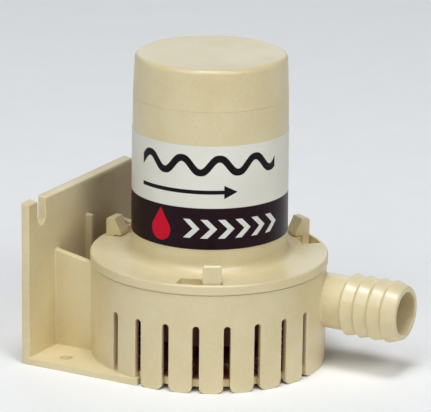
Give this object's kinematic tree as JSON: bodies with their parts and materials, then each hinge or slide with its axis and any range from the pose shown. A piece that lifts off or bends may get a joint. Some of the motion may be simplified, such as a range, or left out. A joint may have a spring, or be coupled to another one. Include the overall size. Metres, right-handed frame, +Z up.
{
  "type": "bilge pump",
  "caption": "Submersible bilge pump: slotted strainer base with barbed hose outlet and wall bracket, and a sealed motor cartridge that twists into hooks on top.",
  "frame": {"origin": "pump axis, in the plane that the base and its foot plate stand on", "axes": "+Z up along the pump axis, +X along the hose outlet, the bracket wall on the -X side"},
  "size_m": [0.1126, 0.0776, 0.1024],
  "materials": {
    "ivory_plastic": "smooth moulded ABS, warm ivory",
    "label_film": "printed film, white field and dark band",
    "black_rubber": "nitrile rubber",
    "stainless_steel": "stainless",
    "plated_steel": "zinc plated",
    "silicon_steel": "stacked laminations",
    "ferrite_magnet": "pressed ferrite",
    "bronze": "sintered bronze",
    "copper": "enamelled copper",
    "brass": "stamped",
    "carbon_brush": "copper carbon",
    "dark_resin": "phenolic moulding",
    "black_plastic": "glass filled nylon"
  },
  "bodies": {
    "base": {"base_housing": "ivory_plastic", "strainer_plate": "ivory_plastic", "strainer_screws": "stainless_steel"},
    "cartridge": {"motor_housing": "ivory_plastic", "top_cap": "ivory_plastic", "label": "label_film", "housing_o_ring": "black_rubber", "shaft_seal": "black_rubber", "seal_spring": "stainless_steel", "gland_seal": "black_rubber", "gland_nut": "ivory_plastic", "motor_can": "plated_steel", "magnet_left": "ferrite_magnet", "magnet_right": "ferrite_magnet", "magnet_clips": "stainless_steel", "lower_bush": "bronze", "upper_bush": "bronze", "brush_plate": "dark_resin", "brush_left": "carbon_brush", "brush_right": "carbon_brush", "brush_springs": "stainless_steel", "terminals": "brass", "motor_pad": "black_rubber"},
    "rotor": {"shaft": "stainless_steel", "armature_core": "silicon_steel", "windings": "copper", "commutator_hub": "dark_resin", "commutator_bars": "copper", "thrust_washers": "brass", "impeller": "black_plastic"}
  },
  "joints": [
    {"name": "cartridge_twist", "type": "hinge", "parent": "base", "child": "cartridge", "pos_m": [0, 0, 0.0328], "axis": [0, 0, 1], "range_deg": [0, 12.5]},
    {"name": "rotor_spin", "type": "hinge", "parent": "cartridge", "child": "rotor", "pos_m": [0, 0, 0.0364], "axis": [0, 0, -1], "continuous": true}
  ]
}
